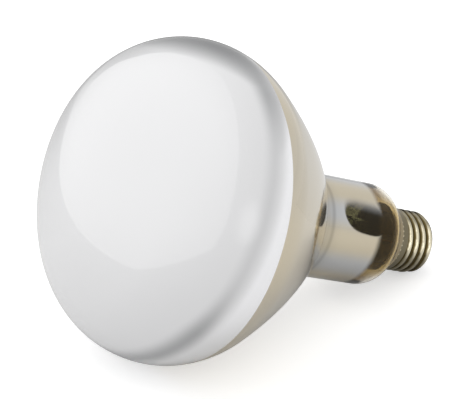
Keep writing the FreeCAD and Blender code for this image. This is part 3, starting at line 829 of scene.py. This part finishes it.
def mineral(name, colour, dark, grain_mm, roughness, gloss=0.0):
    """Two tones of one colour in a fine grain, under a coat where the piece is glossy."""
    material = new_material(name)
    coords = lamp_coordinates(material)
    noise = add(material, NOISE, Vector=coords, Scale=1 / (grain_mm * MM), Detail=MINERAL_DETAIL)
    tone = add(material, "ShaderNodeValToRGB", Fac=noise)
    tone.color_ramp.elements[0].position = DARK_SPOTS
    tone.color_ramp.elements[0].color = linear(dark)
    tone.color_ramp.elements[1].position = PALE_SPOTS
    tone.color_ramp.elements[1].color = linear(colour)
    shader = add(
        material,
        PRINCIPLED,
        Base_Color=tone,
        Roughness=roughness,
        Coat_Weight=gloss,
        Coat_Roughness=MINERAL_COAT_ROUGHNESS,
    )
    add(material, "ShaderNodeOutputMaterial", _0=shader)
    return material


# %% [markdown]
# ## The worn cap, with painted highlights and shade
# The cap is brass sheet, plated with nickel and rolled into a round thread. The crests are pale,
# partly rubbed nickel and partly a painted highlight, and the valleys are brown, partly tarnish and
# partly painted shade; on the near side the crests carry a further painted highlight. One could paint
# this as an image, but it follows from the shape: the distance from the axis tells crest from valley,
# and a noise breaks the edge up.

# %% The cap's metal
# Crests pale as wear with a painted highlight, valleys brown as tarnish with painted shade
CREST_RADIUS = 13.1 * MM
VALLEY_RADIUS = 12.1 * MM
RUBBED_AND_HIGHLIT_START = VALLEY_RADIUS + 0.55 * MM
RUBBED_AND_HIGHLIT_END = CREST_RADIUS + 0.25 * MM
THREAD_STATION = 156.0 * MM
THREAD_FADE = 1 * MM
# Painted highlight: the crests are brighter on the near side
PAINTED_HIGHLIGHT_SIDE = math.radians(338.0)
PAINTED_HIGHLIGHT_START = 10.0 * MM
PAINTED_HIGHLIGHT_END = 12.4 * MM
AWAY_FROM_HIGHLIGHT_SHARE = 0.42
SKIRT_SHINE_LEVEL = 0.2
SPOT_SIZE = 2.5 * MM
SPOT_HEIGHT = 0.5 * MM
SHINIER_SPOTS = 0.05
DULLER_SPOTS = 0.06


def worn_and_highlit_metal(name, crest_colour, valley_colour, roughness):
    """Nickel, pale on the crests as wear and painted highlight, brown in the valleys as tarnish and
    painted shade.
    """
    material = new_material(name)
    place = lamp_coordinates(material)
    parts = add(material, "ShaderNodeSeparateXYZ", Vector=place).outputs
    flat = add(material, "ShaderNodeCombineXYZ", X=parts["X"], Y=parts["Y"])
    reach = add(material, VECTOR_MATH, LENGTH, _0=flat)
    spots = add(material, NOISE, Vector=place, Scale=1 / SPOT_SIZE, Detail=METAL_DETAIL)
    wear_and_highlight = add(material, MATH, TIMES_PLUS, _0=spots, _1=SPOT_HEIGHT, _2=reach)
    rubbed_and_highlit = add(material, RANGE, SMOOTH, Value=wear_and_highlight, From_Min=RUBBED_AND_HIGHLIT_START, From_Max=RUBBED_AND_HIGHLIT_END)
    # Painted highlight on the near side of the crests
    painted_highlight = add(
        material, RANGE, SMOOTH, Value=along_direction(material, parts, PAINTED_HIGHLIGHT_SIDE),
        From_Min=PAINTED_HIGHLIGHT_START, From_Max=PAINTED_HIGHLIGHT_END, To_Min=AWAY_FROM_HIGHLIGHT_SHARE, To_Max=1.0,
    )
    rubbed_and_highlit = add(material, MATH, MULTIPLY, _0=rubbed_and_highlit, _1=painted_highlight)
    threaded = add(
        material, RANGE, SMOOTH, Value=parts["Z"], From_Min=THREAD_STATION - THREAD_FADE,
        From_Max=THREAD_STATION,
    )
    more_than_skirt = add(material, MATH, SUBTRACT, _0=rubbed_and_highlit, _1=SKIRT_SHINE_LEVEL)
    rubbed_and_highlit = add(material, MATH, TIMES_PLUS, _0=more_than_skirt, _1=threaded, _2=SKIRT_SHINE_LEVEL)
    tone = add(material, MIX, COLOURS, _0=rubbed_and_highlit, _6=linear(valley_colour), _7=linear(crest_colour))
    polish = add(
        material, RANGE, SMOOTH, Value=spots, From_Min=DARK_SPOTS, From_Max=PALE_SPOTS,
        To_Min=roughness - SHINIER_SPOTS, To_Max=roughness + DULLER_SPOTS,
    )
    shader = add(material, PRINCIPLED, Base_Color=tone, Metallic=1.0, Roughness=polish)
    add(material, "ShaderNodeOutputMaterial", _0=shader)
    return material


# %% One material for each slot of the record
slot_materials = {
    # Plated and worn: pale on the crests, as wear and painted highlight; brown in the valleys, as tarnish
    # and painted shade
    "nickelled_brass": worn_and_highlit_metal(
        "worn_nickelled_brass_with_painted_highlights", crest_colour="#E6DEC4", valley_colour="#4A3F22", roughness=0.15
    ),
    # Pressed from sheet and left bare: a warm yellow with a dull shine
    "contact_brass": metal("pressed_brass", "#B39A62", roughness=0.3, grain_mm=1.5),
    # Melted and set: grey, with a soft blurred shine
    "solder": metal("tin_solder", "#A9AAAB", roughness=0.38, grain_mm=0.8),
    # Drawn wires: a clean shine, grey for nickel and molybdenum, reddish for copper
    "nickel_wire": metal("drawn_nickel", "#9A958C", roughness=0.3, grain_mm=0.5),
    "molybdenum_wire": metal("drawn_molybdenum", "#77777A", roughness=0.35, grain_mm=0.5),
    "copper_wire": metal("drawn_copper", "#B5714C", roughness=0.3, grain_mm=0.5),
    # Coiled and fired: the darkest and dullest of the metals
    "tungsten": metal("coiled_tungsten", "#5B5B5E", roughness=0.45, grain_mm=0.3),
    # Drawn tube: clear, with a breath of green
    "clear_glass": clear_glass("lead_free_stem_glass", "#EEF2EE", streak_colour="#DDE5DD"),
    # Split from a block, with a smooth face; its dark brown is painted shade of the closed neck
    "mica": mineral("split_mica", "#40382A", dark="#2A241A", grain_mm=1.5, roughness=0.35),
    # Baked paste: dull and grainy
    "cement": mineral("basing_cement", "#40372D", dark="#2C261F", grain_mm=0.4, roughness=0.9),
    # Pressed while hot: black, with a wet shine
    "black_glass": mineral(
        "pressed_black_glass", "#16161A", dark="#0B0B0D", grain_mm=2.0, roughness=0.2, gloss=1.0
    ),
}
for entry in frame["record"]["subparts"]:
    if entry["node"] == "glass_envelope":
        continue
    node = nodes[entry["node"]]
    give(node, slot_materials[entry["material_slot"]])
    node.data.polygons.foreach_set("use_smooth", [True] * len(node.data.polygons))
# The beads stand proud of the skirt, so they are rubbed brighter than it
bead_metal = metal("rubbed_nickel", "#DCD4BA", roughness=0.15, grain_mm=0.8, unevenness=0.05)
give(beads, bead_metal)
print("materials on the packed pieces:", len(slot_materials))

# %% [markdown]
# ## The camera
# The photograph was taken a little from above, with the cap turned away. The camera stands level,
# and its distance, angles and lens were found by laying the lamp's profile over the photograph.

# %% The camera
CAMERA_AZIMUTH = math.radians(58.7)
CAMERA_ELEVATION = math.radians(26.57)
LENS = 131.8
SENSOR_WIDTH = 36.0
NEAREST_SEEN = 0.01
CROWN_RIGHT = -58.43 * MM
CROWN_DOWN = -5.92 * MM
CROWN_AHEAD = 627.1 * MM
ahead_level = Vector((-math.sin(CAMERA_AZIMUTH), math.cos(CAMERA_AZIMUTH), 0))
view_right = Vector((math.cos(CAMERA_AZIMUTH), math.sin(CAMERA_AZIMUTH), 0))
view_ahead = ahead_level * math.cos(CAMERA_ELEVATION) - Vector((0, 0, math.sin(CAMERA_ELEVATION)))
view_up = view_right.cross(view_ahead)
eye = crown - view_right * CROWN_RIGHT + view_up * CROWN_DOWN - view_ahead * CROWN_AHEAD
camera = bpy.data.objects.new("camera", bpy.data.cameras.new("camera"))
bpy.context.scene.collection.objects.link(camera)
camera.data.lens = LENS
camera.data.sensor_width = SENSOR_WIDTH
camera.data.clip_start = NEAREST_SEEN
turn = Matrix((view_right, view_up, -view_ahead)).transposed().to_4x4()
camera.matrix_world = Matrix.Translation(eye) @ turn
bpy.context.scene.camera = camera
print("camera at", [round(c, 3) for c in eye])

# %% [markdown]
# ## The white ground
# The photograph has a plain white ground. A light that burns the floor out to white would burn the
# lamp out too, so the floor and the world are white by the kind of ray: the camera and what it sees
# through glass get the white, and the lamp gets a plain even light. The floor is still a lit
# surface, so the lamp's soft shadow stays on it.


# %% Kinds of ray
def seen_directly(material):
    """1 for the camera, also through glass, and 0 for light that reaches the lamp."""
    path = add(material, "ShaderNodeLightPath").outputs
    return add(material, MATH, MAXIMUM, _0=path["Is Camera Ray"], _1=path["Is Transmission Ray"])


# %% Floor
FLOOR_SIZE = 14.0
FLOOR_GLOW = 0.5
bpy.ops.object.select_all(action="DESELECT")
bpy.ops.mesh.primitive_plane_add(size=FLOOR_SIZE, location=(0, 0, 0))
floor = bpy.context.object
floor.name = "floor"
paper = new_material("white_paper_ground")
lit = add(paper, "ShaderNodeBsdfDiffuse", Color=linear("#E2E2E2"))
glow = add(paper, "ShaderNodeEmission", Color=linear("#FFFFFF"), Strength=FLOOR_GLOW)
both = add(paper, "ShaderNodeAddShader", _0=lit, _1=glow)
ground = add(paper, MIX_SHADERS, _0=seen_directly(paper), _1=lit, _2=both)
add(paper, "ShaderNodeOutputMaterial", _0=ground)
give(floor, paper)
print("floor:", FLOOR_SIZE, "m across")

# %% World
AMBIENT = 1.0
MIRRORED = 0.8
world = bpy.data.worlds.new("studio")
bpy.context.scene.world = world
world.use_nodes = True
world.node_tree.nodes.clear()
in_mirror = add(world, "ShaderNodeLightPath").outputs["Is Glossy Ray"]
level = add(world, MATH, TIMES_PLUS, _0=in_mirror, _1=MIRRORED - AMBIENT, _2=AMBIENT)
ambient = add(world, "ShaderNodeBackground", Color=linear("#FFFFFF"), Strength=level)
white = add(world, "ShaderNodeBackground", Color=linear("#FFFFFF"), Strength=1.0)
sky = add(world, MIX_SHADERS, _0=seen_directly(world), _1=ambient, _2=white)
add(world, "ShaderNodeOutputWorld", _0=sky)
print("world: strength", AMBIENT, "as light and", MIRRORED, "in mirrors")

# %% [markdown]
# ## What the lamp mirrors
# Polished glass and metal show the room round them. A photographer hangs cards and tents round such
# an object and shapes its shine with them. Here cards glow for mirrors alone, so they give no light
# and no shadow. A large tent gives the front its bright pool with a clear edge, a dark flag behind
# the lamp greys its upper edge against the white, a grey patch on the table darkens the reflector
# from below, and a small light puts the highlights on the thread. A hard-edged card would show from
# other sides as a dark polygon in the reflector, so all but the tent fade to the level around them.

# %% Cards that only mirrors see
CORE_SHARE = 0.2


def placed(right, ahead, height):
    """A point given as right, ahead and up from the lamp, in metres."""
    return view_right * right + ahead_level * ahead + Vector((0, 0, 1)) * height


def card(name, corners, strength):
    """A flat glowing card from its corners, with its strength worked out in its own material."""
    bpy.ops.object.select_all(action="DESELECT")
    bpy.ops.mesh.primitive_circle_add(vertices=len(corners), fill_type="NGON", location=(0, 0, 0))
    piece = bpy.context.object
    piece.name = name
    for vertex, corner in zip(piece.data.vertices, corners):
        vertex.co = placed(*corner)
    paint = new_material(name)
    glow = add(paint, "ShaderNodeEmission", Color=linear("#FFFFFF"), Strength=strength(paint))
    add(paint, "ShaderNodeOutputMaterial", _0=glow)
    give(piece, paint)
    piece.visible_camera = False
    piece.visible_diffuse = False
    piece.visible_transmission = False
    piece.visible_shadow = False
    print("card:", name, "with", len(corners), "corners")


def fading_out(level, centre, reach):
    """A soft patch of light round a point that reaches the level of its surroundings at its rim."""

    def strength(paint):
        coords = add(paint, "ShaderNodeTexCoord").outputs["Object"]
        far = add(paint, VECTOR_MATH, DISTANCE, _0=coords, _1=placed(*centre))
        return add(
            paint, RANGE, SMOOTH, Value=far, From_Min=CORE_SHARE * reach, From_Max=reach,
            To_Min=level, To_Max=MIRRORED,
        )

    return strength


def fading_ahead(near_level, far_level, near, far):
    """A light that fades along a card, from near to far metres ahead of the lamp."""

    def strength(paint):
        coords = add(paint, "ShaderNodeTexCoord").outputs["Object"]
        ahead = add(paint, VECTOR_MATH, DOT, _0=coords, _1=ahead_level)
        return add(
            paint, RANGE, SMOOTH, Value=ahead, From_Min=near, From_Max=far,
            To_Min=near_level, To_Max=far_level,
        )

    return strength


# %% The soft tent
# It leans over the lamp from the left, and one plane holds all its corners
TENT_RIGHT = -0.42
TENT_TURN = -0.25
TENT_LEAN = 0.9726
TENT_BRIGHT = 1.9
TENT_DIM = 0.95
TENT_FADE_NEAR = -0.3
TENT_FADE_FAR = 0.6
TENT_EDGE = [
    (-3.0, 0.0), (-3.0, 0.75), (-0.34, 0.745), (0.155, 0.69), (0.33, 0.64), (0.42, 0.38),
    (0.46, 0.28), (0.66, 0.21), (0.7, 0.13), (0.7, 0.0),
]
tent = [(TENT_RIGHT + TENT_TURN * ahead + TENT_LEAN * up, ahead, up) for ahead, up in TENT_EDGE]
card("soft_tent", tent, fading_ahead(TENT_BRIGHT, TENT_DIM, TENT_FADE_NEAR, TENT_FADE_FAR))

# %% The dark flag
# It stands upright behind the lamp
FLAG_LEVEL = 0.03
FLAG_LEFT = -1.15
FLAG_RIGHT = 0.55
FLAG_AHEAD = 1.0
FLAG_TOP = 1.35
FLAG_CENTRE = (-0.3, FLAG_AHEAD, 0.5)
FLAG_REACH = 0.85
flag = [
    (FLAG_LEFT, FLAG_AHEAD, 0.0),
    (FLAG_RIGHT, FLAG_AHEAD, 0.0),
    (FLAG_RIGHT, FLAG_AHEAD, FLAG_TOP),
    (FLAG_LEFT, FLAG_AHEAD, FLAG_TOP),
]
card("dark_flag", flag, fading_out(FLAG_LEVEL, FLAG_CENTRE, FLAG_REACH))

# %% The grey table
# It lies a hair above the floor, behind the lamp
TABLE_LEVEL = 0.25
TABLE_LEFT = -0.82
TABLE_RIGHT = 0.38
TABLE_NEAR = 0.05
TABLE_FAR = 1.2
TABLE_HEIGHT = 0.001
TABLE_CENTRE = (-0.22, 0.6, 0.0)
TABLE_REACH = 0.6
table = [
    (TABLE_LEFT, TABLE_NEAR, TABLE_HEIGHT),
    (TABLE_RIGHT, TABLE_NEAR, TABLE_HEIGHT),
    (TABLE_RIGHT, TABLE_FAR, TABLE_HEIGHT),
    (TABLE_LEFT, TABLE_FAR, TABLE_HEIGHT),
]
card("grey_table", table, fading_out(TABLE_LEVEL, TABLE_CENTRE, TABLE_REACH))

# %% The small front light
# It stands upright in front of the lamp, on the right
FRONT_LEVEL = 2.4
FRONT_FAR_END = (0.52, -0.3)
FRONT_NEAR_END = (0.22, -0.56)
FRONT_TOP = 0.35
FRONT_CENTRE = (0.37, -0.43, 0.13)
FRONT_REACH = 0.19
front_card = [
    (*FRONT_FAR_END, 0.0),
    (*FRONT_NEAR_END, 0.0),
    (*FRONT_NEAR_END, FRONT_TOP),
    (*FRONT_FAR_END, FRONT_TOP),
]
card("front_light", front_card, fading_out(FRONT_LEVEL, FRONT_CENTRE, FRONT_REACH))

# %% [markdown]
# ## The key light
# One large soft light from the upper left, a little behind the lamp, shapes the white front and
# draws the shadow to the right. It is an area light, because a wide source gives a shadow with a
# soft edge. It is kept out of reflections, where the tent already stands for it.

# %% Key light
KEY_AZIMUTH = math.radians(-70.0)
KEY_ELEVATION = math.radians(55.0)
KEY_DISTANCE = 1.8
KEY_SIZE = 1.6
KEY_WATTS = 6.0
LIT_HEIGHT = 0.06
level_way = ahead_level * math.cos(KEY_AZIMUTH) + view_right * math.sin(KEY_AZIMUTH)
way = level_way * math.cos(KEY_ELEVATION) + Vector((0, 0, math.sin(KEY_ELEVATION)))
key_light = bpy.data.objects.new("key_light", bpy.data.lights.new("key_light", "AREA"))
bpy.context.scene.collection.objects.link(key_light)
key_light.data.shape = "RECTANGLE"
key_light.data.size = KEY_SIZE
key_light.data.size_y = KEY_SIZE
key_light.data.energy = KEY_WATTS
key_light.location = Vector((0, 0, LIT_HEIGHT)) + way * KEY_DISTANCE
key_light.rotation_euler = (-way).to_track_quat("-Z", "Y").to_euler()
key_light.visible_glossy = False
print("key light at", [round(c, 2) for c in key_light.location], "with", KEY_WATTS, "W")

# %% Finish
bpy.context.scene.view_settings.view_transform = "Standard"
bpy.context.view_layer.update()
